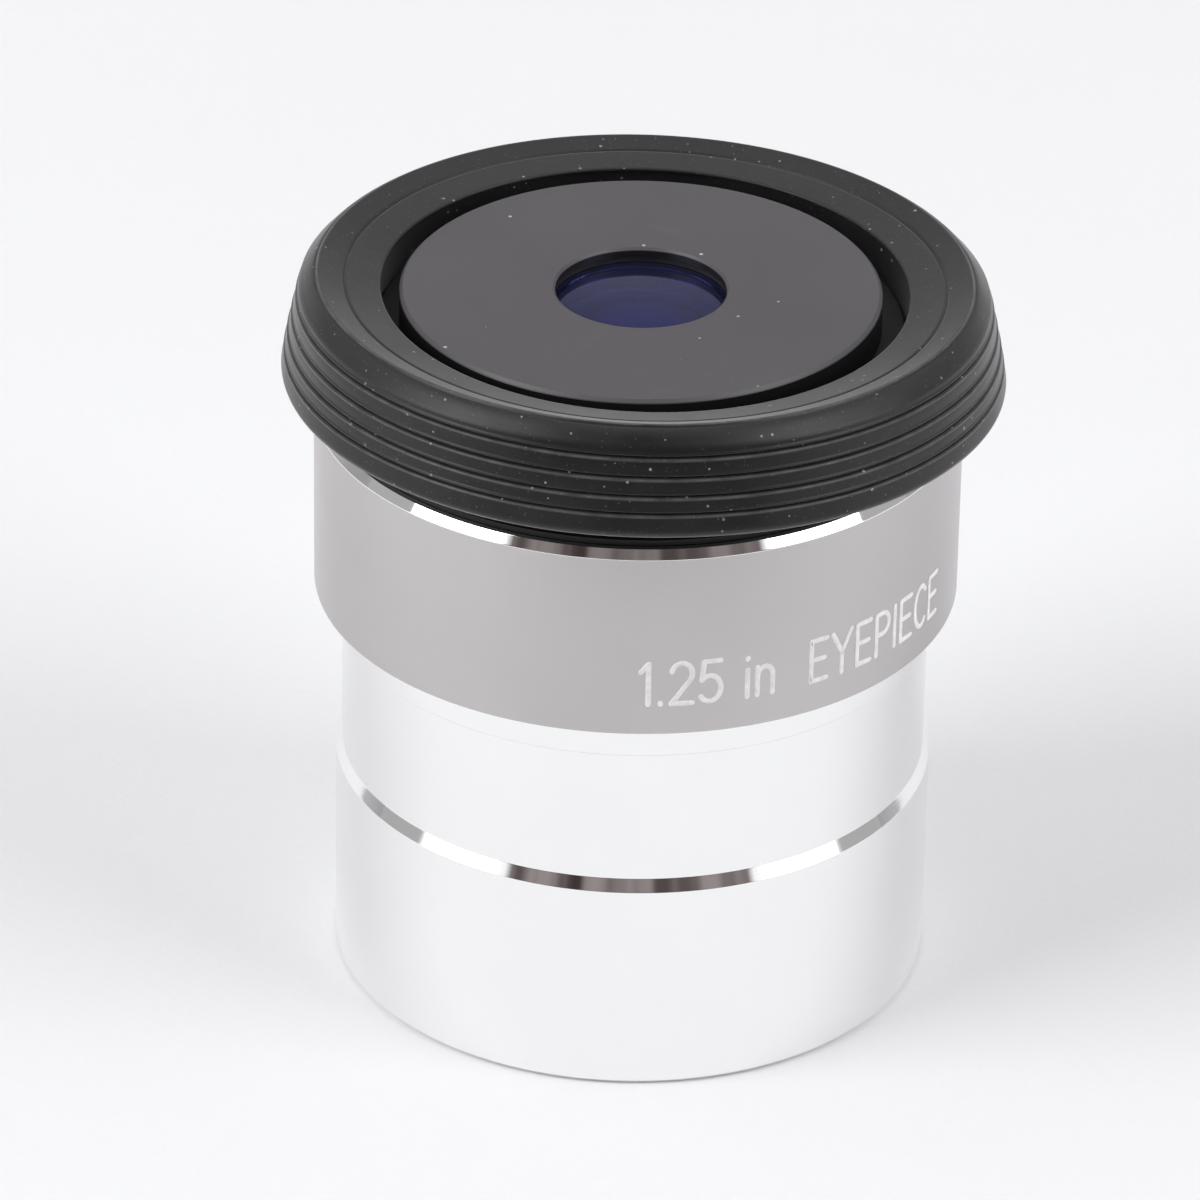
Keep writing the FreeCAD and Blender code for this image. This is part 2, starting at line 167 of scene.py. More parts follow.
def band(tree, value, low, high, edge):
    """1 where the value lies between low and high and 0 outside, with edges that soft."""
    above = scaled(tree, value, (low - edge, low + edge), (0.0, 1.0))
    below = scaled(tree, value, (high - edge, high + edge), (1.0, 0.0))
    return number(tree, "MULTIPLY", above, below)


world = bpy.data.worlds.new("white_room")
bpy.context.scene.world = world
world.use_nodes = True
tree = world.node_tree
towards = node(tree, "SeparateXYZ", {0: node(tree, "TexCoord").outputs["Generated"]}).outputs
turned_away = number(tree, "ARCTAN2", towards[0], number(tree, "MULTIPLY", towards[1], -1.0))
aside = number(tree, "DEGREES", number(tree, "ABSOLUTE", turned_away))
risen = number(tree, "DEGREES", number(tree, "ARCSINE", towards[2]))
end_across = band(tree, aside, -1.0, DARK_END_HALF_WIDTH, 1.2)
dark_end = number(tree, "MULTIPLY", end_across, band(tree, risen, *DARK_END_HEIGHTS, 4.0))
flags = number(tree, "MULTIPLY", band(tree, aside, *FLAG_WIDTHS, 1.2), band(tree, risen, *FLAG_HEIGHTS, 2.5))
streak_place = node(tree, "CombineXYZ", {0: turned_away, 1: 3.7, 2: 0.0}).outputs[0]
streaks = node(tree, "TexNoise", {"Vector": streak_place, "Scale": 5.5, "Detail": 2.0}).outputs["Fac"]
streak_share = scaled(tree, streaks, (0.36, 0.64), (0.0, 1.0))
upper_fade = scaled(tree, risen, (26.0, 50.0), (1.0, 0.05))
lower_fade = scaled(tree, risen, (2.0, 14.0), (0.15, 1.0))
faded = number(tree, "MULTIPLY", streak_share, upper_fade)
end_colour = blend_colour(tree, number(tree, "MULTIPLY", faded, lower_fade), DARK_END_BROWN, DARK_END_GREY)
room = blend_colour(tree, flags, ROOM_WHITE, FLAG_GREY)
room = blend_colour(tree, dark_end, room, end_colour)
room = blend_colour(tree, node(tree, "LightPath").outputs["Is Camera Ray"], room, SEEN_WHITE)
tree.links.new(room, tree.nodes["Background"].inputs["Color"])


def soft_box(name, azimuth, elevation, distance, width, height, power):
    """An oblong area light that faces the eyepiece. Azimuth 0 is in front, and positive to the right."""
    light = bpy.data.lights.new(name, "AREA")
    light.shape = "RECTANGLE"
    light.size, light.size_y, light.energy = width, height, power
    box = bpy.data.objects.new(name, light)
    bpy.context.scene.collection.objects.link(box)
    turn, rise = np.radians(azimuth), np.radians(elevation)
    box.location = (
        distance * np.sin(turn) * np.cos(rise),
        -distance * np.cos(turn) * np.cos(rise),
        distance * np.sin(rise),
    )
    box.rotation_euler = (np.pi / 2 - rise, 0, turn)


soft_box("left_soft_box", azimuth=-66, elevation=33, distance=1.1, width=0.62, height=0.95, power=6.9)
soft_box("right_soft_box", azimuth=66, elevation=33, distance=1.1, width=0.62, height=0.95, power=4.7)

# --- Camera ---------------------------------------------------------------------------------------
# A long lens, a little above the eyepiece and in front of it.

SENSOR_WIDTH, FOCAL_LENGTH = 36.0, 240.0
CAMERA_PLACE = (0.0, -0.36948, 0.22891)
CAMERA_TURN, CAMERA_DIP, CAMERA_ROLL = np.radians([-0.288, 29.454, 0.969])

level_share = np.cos(CAMERA_DIP)
looking = np.array(
    [np.sin(CAMERA_TURN) * level_share, np.cos(CAMERA_TURN) * level_share, -np.sin(CAMERA_DIP)]
)
level = np.cross(looking, (0, 0, 1))
level /= np.linalg.norm(level)
upright = np.cross(level, looking)
camera_x = np.cos(CAMERA_ROLL) * level + np.sin(CAMERA_ROLL) * upright
camera_y = np.cos(CAMERA_ROLL) * upright - np.sin(CAMERA_ROLL) * level
camera_data = bpy.data.cameras.new("camera")
camera_data.lens, camera_data.sensor_width = FOCAL_LENGTH, SENSOR_WIDTH
camera_data.clip_start = 0.01
camera = bpy.data.objects.new("camera", camera_data)
bpy.context.scene.collection.objects.link(camera)
camera_matrix = np.eye(4)
camera_matrix[:3, 0], camera_matrix[:3, 1], camera_matrix[:3, 2] = camera_x, camera_y, -looking
camera_matrix[:3, 3] = CAMERA_PLACE
camera.matrix_world = Matrix(camera_matrix.tolist())
bpy.context.scene.camera = camera
bpy.context.scene.view_settings.view_transform = "Standard"

# --- Barrel ---------------------------------------------------------------------------------------
# The nose that slides into the focuser: turned from aluminium bar, bright satin, with a diamond-cut
# bevel above its grip band, a safety undercut, a filter thread inside its mouth and a screw neck that
# the housing turns on.

MM = 0.001


def rounded(corners, steps=5):
    """A closed outline from corners (radius, height, round): each corner becomes an arc of that round,
    tangent to both its sides. A point just past each end of the arc keeps the sides shading flat."""
    corners = np.array(corners, dtype=float)
    here, size = corners[:, :2], corners[:, 2:]
    back = np.roll(here, 1, axis=0) - here
    ahead = np.roll(here, -1, axis=0) - here
    back /= np.linalg.norm(back, axis=1, keepdims=True)
    ahead /= np.linalg.norm(ahead, axis=1, keepdims=True)
    half = 0.5 * np.arccos(np.clip((back * ahead).sum(axis=1, keepdims=True), -1, 1))
    middle = (back + ahead) / (2 * np.cos(half))
    centre = here + middle * size / np.sin(half)
    reach = size / np.tan(half)
    first, last = here + back * reach, here + ahead * reach
    swing = (np.pi - 2 * half)[:, None]
    share = np.linspace(0, 1, steps)[None, :, None]
    from_first = np.sin((1 - share) * swing) * (first - centre)[:, None]
    from_last = np.sin(share * swing) * (last - centre)[:, None]
    arc = centre[:, None] + (from_first + from_last) / np.sin(swing)
    before = first + back * 0.4 * size
    after = last + ahead * 0.4 * size
    return np.concatenate([before[:, None], arc, after[:, None]], axis=1).reshape(-1, 2)


def densified(outline, low, high, step):
    """The outline with its long upright side between two heights cut into short runs, for a thread."""
    rows = [outline[:1]]
    for start, end in zip(outline[:-1], outline[1:]):
        upright = abs(end[0] - start[0]) < 1e-6
        between = min(start[1], end[1]) >= low and max(start[1], end[1]) <= high
        count = max(1, int(np.ceil(abs(end[1] - start[1]) / step))) if upright and between else 1
        share = np.linspace(0, 1, count + 1)[1:, None]
        rows.append(start + (end - start) * share)
    return np.concatenate(rows)


def thread(radius, height, angle, zone, wall, depth, pitch):
    """How far a screw thread moves a wall, in mm: a ridge that climbs one pitch each turn and fades out
    over half a pitch at both ends of its zone. The ridge is a triangle wave with its tops and roots
    flattened, and the wall is the radius that the thread is cut from."""
    low, high = zone
    climb = height / pitch - angle / (2 * np.pi)
    ridge = np.abs(2 * (climb - np.floor(climb)) - 1)
    ridge = np.clip(1.6 * ridge - 0.3, 0, 1)
    fade = np.clip((height - low) / (0.5 * pitch), 0, 1) * np.clip((high - height) / (0.5 * pitch), 0, 1)
    return depth * ridge * fade * (np.abs(radius - wall) < 0.02)


def turned(name, outline, material, columns=360, relief=None):
    """A piece turned on a lathe: the closed outline (radius, height), in mm, is carried once round the
    optical axis. Relief, where given, moves the wall in or out at each radius, height and angle."""
    angle = np.linspace(0, 2 * np.pi, columns, endpoint=False)[None, :]
    radius, height, angle = np.broadcast_arrays(outline[:, :1], outline[:, 1:], angle)
    if relief:
        radius = radius + relief(radius, height, angle)
    points = np.stack([radius * np.sin(angle), -radius * np.cos(angle), height], axis=-1) * MM
    return new_piece(name, grid_mesh(name, points), material)


def new_group(name, inputs, outputs):
    """A shader node group with inputs {name: (kind, value)} and outputs {name: kind}, and its two ends."""
    tree = bpy.data.node_groups.new(name, "ShaderNodeTree")
    for socket, (kind, value) in inputs.items():
        made = tree.interface.new_socket(name=socket, in_out="INPUT", socket_type="NodeSocket" + kind)
        if value is not None:
            made.default_value = value
    for socket, kind in outputs.items():
        tree.interface.new_socket(name=socket, in_out="OUTPUT", socket_type="NodeSocket" + kind)
    return tree, tree.nodes.new("NodeGroupInput").outputs, tree.nodes.new("NodeGroupOutput")


def use_group(tree, group, **inputs):
    """Places a node group in a tree, with its own values."""
    made = tree.nodes.new("ShaderNodeGroup")
    made.node_tree = group
    for name, value in inputs.items():
        socket = made.inputs[name.replace("_", " ")]
        if isinstance(value, bpy.types.NodeSocket):
            tree.links.new(value, socket)
        else:
            socket.default_value = value
    return made.outputs


# Tool marks: fine rings left by the lathe. Noise is read by distance from the axis and by height, so it
# makes rings on flat faces and hoops on upright walls.
LATHE, given, made = new_group(
    "lathe_rings", {"Place": ("Vector", None), "Rings per metre": ("Float", 9000.0)}, {"Height": "Float"}
)
parts = node(LATHE, "SeparateXYZ", {0: given["Place"]}).outputs
squares = number(LATHE, "ADD", number(LATHE, "POWER", parts[0], 2.0), number(LATHE, "POWER", parts[1], 2.0))
from_axis = number(LATHE, "SQRT", squares)
ring_place = node(LATHE, "CombineXYZ", {0: from_axis, 1: parts[2], 2: 0.0}).outputs[0]
rings = node(LATHE, "TexNoise", {"Vector": ring_place, "Scale": given["Rings per metre"], "Detail": 2.0})
LATHE.links.new(rings.outputs["Fac"], made.inputs["Height"])

# Handling marks: soft, low cloudiness that changes gloss and colour a little from place to place.
HANDLING, given, made = new_group(
    "handling_marks",
    {"Place": ("Vector", None), "Size": ("Float", 160.0), "Low": ("Float", 0.0), "High": ("Float", 1.0)},
    {"Value": "Float"},
)
cloud = node(HANDLING, "TexNoise", {"Vector": given["Place"], "Scale": given["Size"], "Detail": 4.0})
ends = {"From Min": 0.3, "From Max": 0.7, "To Min": given["Low"], "To Max": given["High"]}
spread = node(HANDLING, "MapRange", {"Value": cloud.outputs["Fac"], **ends})
HANDLING.links.new(spread.outputs["Result"], made.inputs["Value"])


def height_of(tree, place):
    """The height of a point, in mm."""
    return number(tree, "MULTIPLY", node(tree, "SeparateXYZ", {0: place}).outputs[2], 1000.0)


BARREL_RADIUS, UNDERCUT_RADIUS, BORE_RADIUS, RELIEF_RADIUS = 15.875, 15.53, 13.4, 14.3
FILTER_WALL, FILTER_DEPTH, FILTER_PITCH, FILTER_ZONE = 13.925, 0.325, 0.6, (0.45, 5.2)
NECK_WALL, NECK_DEPTH, NECK_PITCH, NECK_ZONE = 14.9, -0.4, 0.75, (22.6, 25.7)
BEVEL_LOW, BEVEL_HIGH, BEVEL_EDGE = 11.81, 12.47, 0.06
LAND_FOOT, HOUSING_FOOT, NECK_FOOT, NECK_TOP = 20.03, 22.0, 22.5, 26.0

barrel_outline = rounded(
    [
        (14.35, 0.0, 0.04),
        (15.62, 0.0, 0.08),
        (BARREL_RADIUS, 0.26, 0.08),
        (BARREL_RADIUS, BEVEL_LOW, 0.07),
        (UNDERCUT_RADIUS, BEVEL_HIGH, 0.07),
        (UNDERCUT_RADIUS, LAND_FOOT, 0.03),
        (15.80, LAND_FOOT, 0.02),
        (BARREL_RADIUS, LAND_FOOT + 0.08, 0.02),
        (BARREL_RADIUS, NECK_FOOT, 0.04),
        (NECK_WALL, NECK_FOOT, 0.04),
        (NECK_WALL, NECK_ZONE[1], 0.04),
        (14.6, NECK_TOP, 0.04),
        (BORE_RADIUS, NECK_TOP, 0.05),
        (BORE_RADIUS, 6.2, 0.05),
        (RELIEF_RADIUS, 6.2, 0.05),
        (RELIEF_RADIUS, FILTER_ZONE[1], 0.05),
        (FILTER_WALL, FILTER_ZONE[1], 0.03),
        (FILTER_WALL, 0.425, 0.03),
    ]
)
barrel_outline = densified(barrel_outline, 0.3, 5.3, FILTER_PITCH / 12)
barrel_outline = densified(barrel_outline, 22.4, 25.8, NECK_PITCH / 12)


def barrel_threads(radius, height, angle):
    """The filter thread is cut outwards into the mouth's wall, and the neck's thread inwards."""
    inside = thread(radius, height, angle, FILTER_ZONE, FILTER_WALL, FILTER_DEPTH, FILTER_PITCH)
    return inside + thread(radius, height, angle, NECK_ZONE, NECK_WALL, NECK_DEPTH, NECK_PITCH)


tree, shader, bright_finish = new_material("bright_turned_aluminium")
place = object_place(tree)
height = height_of(tree, place)
polished = band(tree, height, BEVEL_LOW - BEVEL_EDGE, BEVEL_HIGH + BEVEL_EDGE, 0.02)
cloudy = use_group(tree, HANDLING, Place=place, Size=120.0, Low=0.17, High=0.24)["Value"]
gloss = number(tree, "MULTIPLY_ADD", polished, number(tree, "SUBTRACT", 0.05, cloudy), cloudy)
tint = blend_colour(
    tree,
    use_group(tree, HANDLING, Place=place, Size=70.0, Low=0.0, High=1.0)["Value"],
    (0.925, 0.925, 0.925, 1),
    (0.95, 0.952, 0.955, 1),
)
# Painted shade: the corner under the land and the strip just under the housing's foot are darkened in the
# colour, standing in for the shade that falls there.
corner_painted_shade = band(tree, height, LAND_FOOT - 0.04, LAND_FOOT + 0.06, 0.05)
joint_painted_shade = band(tree, height, HOUSING_FOOT - 0.16, HOUSING_FOOT + 0.5, 0.10)
corner_share = number(tree, "MULTIPLY", corner_painted_shade, 0.30)
painted_shade = number(tree, "MAXIMUM", corner_share, number(tree, "MULTIPLY", joint_painted_shade, 0.45))
tint = blend_colour(tree, painted_shade, tint, (0.30, 0.295, 0.29, 1))
rings = use_group(tree, LATHE, Place=place, Rings_per_metre=5200.0)["Height"]
ring_bump = node(tree, "Bump", {"Height": rings, "Strength": 0.05, "Distance": 0.00004})
tree.links.new(tint, shader.inputs["Base Color"])
tree.links.new(gloss, shader.inputs["Roughness"])
tree.links.new(ring_bump.outputs["Normal"], shader.inputs["Normal"])
shader.inputs["Metallic"].default_value = 1.0

barrel = turned("barrel_shell", barrel_outline, bright_finish, relief=barrel_threads)
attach(barrel, "barrel")
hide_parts("barrel")

# --- Upper housing --------------------------------------------------------------------------------
# The grey shell that screws onto the barrel: bead-blasted and anodised, with a diamond-cut rim that was
# turned after anodising. Its lower bore holds the screw, and the black eye neck screws into its upper
# bore.

HOUSING_RADIUS, HOUSING_MOUTH, HOUSING_BORE, HOUSING_STEP = 17.0, 15.93, 14.2, 13.4
HOUSING_THREAD_WALL, HOUSING_THREAD_DEPTH, HOUSING_THREAD_ZONE = 14.95, 0.35, (22.7, 26.3)
STEP_FOOT, STEP_TOP, RIM_LOW, RIM_TOP = 26.4, 27.4, 32.2, 32.68

housing_outline = rounded(
    [
        (HOUSING_MOUTH, HOUSING_FOOT, 0.03),
        (HOUSING_RADIUS, HOUSING_FOOT, 0.09),
        (HOUSING_RADIUS, RIM_LOW, 0.07),
        (16.70, RIM_TOP, 0.03),
        (HOUSING_BORE, RIM_TOP, 0.04),
        (HOUSING_BORE, STEP_TOP, 0.05),
        (HOUSING_STEP, STEP_TOP, 0.05),
        (HOUSING_STEP, STEP_FOOT, 0.05),
        (HOUSING_THREAD_WALL, STEP_FOOT, 0.05),
        (HOUSING_THREAD_WALL, NECK_FOOT, 0.05),
        (HOUSING_MOUTH, NECK_FOOT, 0.05),
    ]
)
housing_outline = densified(housing_outline, NECK_FOOT, STEP_FOOT, NECK_PITCH / 12)


def housing_thread(radius, height, angle):
    """The thread that turns on the barrel's neck, cut outwards."""
    wall, depth = HOUSING_THREAD_WALL, HOUSING_THREAD_DEPTH
    return thread(radius, height, angle, HOUSING_THREAD_ZONE, wall, depth, NECK_PITCH)


tree, shader, satin_finish = new_material("bead_blasted_grey_aluminium")
place = object_place(tree)
cut = band(tree, height_of(tree, place), RIM_LOW - 0.04, RIM_TOP + 0.06, 0.015)
cloudy = use_group(tree, HANDLING, Place=place, Size=90.0, Low=0.30, High=0.36)["Value"]
gloss = number(tree, "MULTIPLY_ADD", cut, number(tree, "SUBTRACT", 0.04, cloudy), cloudy)
grey = blend_colour(
    tree,
    use_group(tree, HANDLING, Place=place, Size=60.0, Low=0.0, High=1.0)["Value"],
    (0.535, 0.515, 0.515, 1),
    (0.575, 0.555, 0.555, 1),
)
metal = blend_colour(tree, cut, grey, (0.94, 0.94, 0.94, 1))
blasting = node(tree, "TexNoise", {"Vector": place, "Scale": 9000.0, "Detail": 2.0})
blast_height = number(tree, "MULTIPLY", blasting.outputs["Fac"], number(tree, "SUBTRACT", 1.0, cut))
blast_bump = node(tree, "Bump", {"Height": blast_height, "Strength": 0.12, "Distance": 0.00003})
tree.links.new(metal, shader.inputs["Base Color"])
tree.links.new(gloss, shader.inputs["Roughness"])
tree.links.new(blast_bump.outputs["Normal"], shader.inputs["Normal"])
shader.inputs["Metallic"].default_value = 1.0

housing = turned("housing_shell", housing_outline, satin_finish, relief=housing_thread)
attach(housing, "housing")
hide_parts("upper_housing")

# --- Engraved figures -----------------------------------------------------------------------------
# The barrel size and the word EYEPIECE, in the white paint that fills engraved letters. Each letter is a
# few strokes of one pen, bent round the housing's wall and a hair proud of it.

PEN, FIGURE_HEIGHT, FIGURE_FOOT = 0.30, 2.35, 23.8
PAINT_PROUD, LETTER_GAP = 0.03, 0.17


def bow(x, y, wide, high, start, end, steps=16):
    """Points along part of an oval round (x, y), from one angle in degrees to another."""
    angle = np.radians(np.linspace(start, end, steps))
    return np.stack([x + wide * np.cos(angle), y + high * np.sin(angle)], axis=1)


def straight(x, y, to_x, to_y):
    """Points along a straight stroke."""
    return np.linspace((x, y), (to_x, to_y), 6)


# Each letter on a field 1 high: its width, then its strokes.
LETTERS = {
    "1": (0.30, [straight(0.04, 0.80, 0.22, 1.0), straight(0.22, 1.0, 0.22, 0.0)]),
    ".": (0.12, [straight(0.05, 0.0, 0.05, 0.02)]),
    "2": (
        0.54,
        [
            np.concatenate([bow(0.27, 0.73, 0.25, 0.27, 165, -38), [(0.02, 0.0)]]),
            straight(0.02, 0.0, 0.52, 0.0),
        ],
    ),
    "5": (
        0.54,
        [
            straight(0.50, 1.0, 0.10, 1.0),
            straight(0.10, 1.0, 0.05, 0.54),
            bow(0.25, 0.32, 0.27, 0.32, 130, -145, 22),
        ],
    ),
    "i": (0.10, [straight(0.05, 0.0, 0.05, 0.66), straight(0.05, 0.93, 0.05, 0.95)]),
    "n": (
        0.48,
        [
            straight(0.04, 0.0, 0.04, 0.68),
            np.concatenate([bow(0.24, 0.44, 0.20, 0.24, 180, 0), [(0.44, 0.0)]]),
        ],
    ),
    "E": (
        0.50,
        [
            straight(0.04, 0.0, 0.04, 1.0),
            straight(0.04, 1.0, 0.48, 1.0),
            straight(0.04, 0.52, 0.42, 0.52),
            straight(0.04, 0.0, 0.48, 0.0),
        ],
    ),
    "Y": (
        0.58,
        [straight(0.0, 1.0, 0.29, 0.50), straight(0.58, 1.0, 0.29, 0.50), straight(0.29, 0.50, 0.29, 0.0)],
    ),
    "P": (
        0.52,
        [
            straight(0.04, 0.0, 0.04, 1.0),
            np.concatenate([[(0.04, 1.0)], bow(0.26, 0.74, 0.24, 0.26, 90, -90), [(0.04, 0.48)]]),
        ],
    ),
    "I": (0.10, [straight(0.05, 0.0, 0.05, 1.0)]),
    "C": (0.54, [bow(0.31, 0.50, 0.29, 0.50, 48, 312, 28)]),
    " ": (0.26, []),
}


def pen_stroke(path):
    """A stroke of paint as a grid (place along, place round): a low dome across the path and a flat back
    under it. The half width is half a pen, and falls as a quarter circle over each end. Gives x, y and
    rise."""
    along = np.gradient(path, axis=0)
    along /= np.linalg.norm(along, axis=1, keepdims=True)
    turn = np.linspace(0, np.pi / 2, 6, endpoint=False)[:, None]
    first = path[0] - along[0] * PEN / 2 * np.cos(turn)
    last = path[-1] + along[-1] * PEN / 2 * np.cos(turn[::-1])
    middle = np.concatenate([first, path, last])
    heading = np.concatenate([np.repeat(along[:1], 6, axis=0), along, np.repeat(along[-1:], 6, axis=0)])
    half = PEN / 2 * np.concatenate([np.sin(turn), np.ones((len(path), 1)), np.sin(turn[::-1])])
    side = np.stack([-heading[:, 1], heading[:, 0]], axis=1)
    across = np.array([-1, -0.9, -0.5, 0, 0.5, 0.9, 1, 0.5, -0.5])
    rise = np.array([-0.5, 0.5, 0.9, 1, 0.9, 0.5, -0.5, -2, -2]) * PAINT_PROUD
    place = middle[:, None] + side[:, None] * half[:, :, None] * across[None, :, None]
    return np.concatenate([place, np.broadcast_to(rise[None, :, None], (*place.shape[:2], 1))], axis=2)


def figures(name, text, left_angle, width_angle, material):
    """Writes the text between two angles on the housing's wall: each stroke's distance along the line
    becomes an angle round the axis, and its rise is added to the wall's radius."""
    strokes, cursor = [], 0.0
    for letter in text:
        width, shapes = LETTERS[letter]
        strokes += [shape + (cursor, 0) for shape in shapes]
        cursor += width + LETTER_GAP
    stretch = np.radians(width_angle) * HOUSING_RADIUS / ((cursor - LETTER_GAP) * FIGURE_HEIGHT)
    joined = bmesh.new()
    for shape in strokes:
        x, y, rise = np.moveaxis(pen_stroke(shape * FIGURE_HEIGHT * (stretch, 1)), 2, 0)
        angle = np.radians(left_angle) + x / HOUSING_RADIUS
        radius = HOUSING_RADIUS + rise
        points = np.stack([radius * np.sin(angle), -radius * np.cos(angle), FIGURE_FOOT + y], axis=-1) * MM
        joined.from_mesh(grid_mesh(name, points, rows_close=False))
    bmesh.ops.remove_doubles(joined, verts=joined.verts, dist=1e-7)
    bmesh.ops.holes_fill(joined, edges=joined.edges)
    bmesh.ops.recalc_face_normals(joined, faces=joined.faces)
    mesh = bpy.data.meshes.new(name)
    joined.to_mesh(mesh)
    joined.free()
    return new_piece(name, mesh, material)


tree, shader, paint_finish = new_material("white_filling_paint")
place = object_place(tree)
worn = use_group(tree, HANDLING, Place=place, Size=2600.0, Low=0.0, High=1.0)["Value"]
paint_colour = blend_colour(tree, worn, (0.78, 0.77, 0.75, 1), (0.93, 0.93, 0.92, 1))
tree.links.new(paint_colour, shader.inputs["Base Color"])
paint_bump = node(tree, "Bump", {"Height": worn, "Strength": 0.4, "Distance": 0.00004})
tree.links.new(paint_bump.outputs["Normal"], shader.inputs["Normal"])
shader.inputs["Roughness"].default_value = 0.55

size_figures = figures("engraved_size", "1.25 in", 1.0, 24.0, paint_finish)
word_figures = figures("engraved_word", "EYEPIECE", 32.0, 35.0, paint_finish)
for piece in (size_figures, word_figures):
    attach(piece, "housing")

# --- Top cap --------------------------------------------------------------------------------------
# The matte black disc with the eye opening. It is turned from aluminium and anodised black, so its face
# has very faint rings, a few specks of dust and the odd hairline scratch.

DUST, given, made = new_group(
    "dust_specks",
    {
        "Place": ("Vector", None),
        "Specks per metre": ("Float", 800.0),
        "Share": ("Float", 0.05),
        "Size": ("Float", 0.2),
    },
    {"Mask": "Float"},
)
scatter = node(DUST, "TexVoronoi", {"Vector": given["Place"], "Scale": given["Specks per metre"]})
lot = node(DUST, "SeparateColor", {0: scatter.outputs["Color"]}).outputs
chosen = number(DUST, "LESS_THAN", lot[0], given["Share"])
own_size = number(DUST, "MULTIPLY", given["Size"], number(DUST, "MULTIPLY_ADD", lot[1], 0.8, 0.35))
close = number(DUST, "LESS_THAN", scatter.outputs["Distance"], own_size)
strength = number(DUST, "MULTIPLY_ADD", lot[2], 0.6, 0.4)
speck = number(DUST, "MULTIPLY", chosen, close)
DUST.links.new(number(DUST, "MULTIPLY", speck, strength), made.inputs["Mask"])

SCRATCHES, given, made = new_group(
    "hairline_scratches",
    {
        "Place": ("Vector", None),
        "Turn": ("Float", 0.5),
        "Scale": ("Float", 60.0),
        "Width": ("Float", 0.004),
    },
    {"Mask": "Float"},
)
turned_place = node(
    SCRATCHES, "VectorRotate", {"Vector": given["Place"], "Angle": given["Turn"]}, rotation_type="Z_AXIS"
).outputs[0]
drawn_out = node(SCRATCHES, "VectorMath", {0: turned_place, 1: (1.0, 0.12, 1.0)}, operation="MULTIPLY")
long_place = drawn_out.outputs[0]
cells = node(
    SCRATCHES, "TexVoronoi", {"Vector": long_place, "Scale": given["Scale"]}, feature="DISTANCE_TO_EDGE"
)
hair = number(SCRATCHES, "LESS_THAN", cells.outputs["Distance"], given["Width"])
patches = node(SCRATCHES, "TexNoise", {"Vector": given["Place"], "Scale": 240.0, "Detail": 1.0})
here_only = number(SCRATCHES, "GREATER_THAN", patches.outputs["Fac"], 0.58)
SCRATCHES.links.new(number(SCRATCHES, "MULTIPLY", hair, here_only), made.inputs["Mask"])


def black_anodised(name, dark, light, low, high, rings_per_metre, ring_strength, dusty, shade_painted_below):
    """Black anodised aluminium between two greys and two roughnesses, with lathe rings and dust, and painted
    shade below a height in mm, where the colour is nearly black."""
    tree, shader, material = new_material(name)
    place = object_place(tree)
    cloud = use_group(tree, HANDLING, Place=place, Size=110.0, Low=0.0, High=1.0)["Value"]
    colour = blend_colour(tree, cloud, dark, light)
    specks = use_group(tree, DUST, Place=place, Share=dusty, Size=0.10, Specks_per_metre=1000.0)["Mask"]
    scratches = use_group(tree, SCRATCHES, Place=place, Turn=0.6, Scale=90.0, Width=0.003)["Mask"]
    marks = number(tree, "MULTIPLY_ADD", scratches, 0.010, number(tree, "MULTIPLY", specks, 0.55))
    colour = blend_colour(tree, marks, colour, (0.75, 0.75, 0.73, 1))
    # Painted shade: below that height the colour is nearly black, standing in for the shade on the cap's
    # side wall under its chamfer.
    below = scaled(tree, height_of(tree, place), (shade_painted_below - 0.03, shade_painted_below + 0.03), (1.0, 0.0))
    colour = blend_colour(tree, below, colour, (0.008, 0.008, 0.008, 1))
    gloss = use_group(tree, HANDLING, Place=place, Size=80.0, Low=low, High=high)["Value"]
    height = use_group(tree, LATHE, Place=place, Rings_per_metre=rings_per_metre)["Height"]
    bump = node(tree, "Bump", {"Height": height, "Strength": ring_strength, "Distance": 0.00005})
    tree.links.new(colour, shader.inputs["Base Color"])
    tree.links.new(gloss, shader.inputs["Roughness"])
    tree.links.new(bump.outputs["Normal"], shader.inputs["Normal"])
    return material


# The cap's side wall under its chamfer, below 38.79 mm, is painted nearly black: painted shade.
cap_finish = black_anodised(
    "matte_black_anodising",
    dark=(0.074, 0.069, 0.077, 1),
    light=(0.084, 0.078, 0.086, 1),
    low=0.38,
    high=0.44,
    rings_per_metre=7000.0,
    ring_strength=0.08,
    dusty=0.13,
    shade_painted_below=38.79,
)
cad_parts["top_cap"].data.materials[0] = cap_finish

# --- Eye neck, lens cell, spacer, rings -----------------------------------------------------------
# The inside parts are blackened and matte, so that they send no stray light to the eye. Their tool marks
# are coarser than the cap's, because nobody sees them.

inside_finish = black_anodised(
    "flat_black_inside",
    dark=(0.012, 0.012, 0.013, 1),
    light=(0.020, 0.020, 0.021, 1),
    low=0.60,
    high=0.72,
    rings_per_metre=2600.0,
    ring_strength=0.35,
    dusty=0.01,
    shade_painted_below=0.0,
)
for part in ("eye_neck", "lens_cell", "lens_spacer", "lens_retaining_ring", "field_stop"):
    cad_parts[part].data.materials[0] = inside_finish

# --- Lenses ---------------------------------------------------------------------------------------
# Four polished elements in two cemented pairs. The outer faces have an anti-reflection coating that
# sends back only indigo and violet light. The dense flint glass takes up more light than the clear
# crown glass.


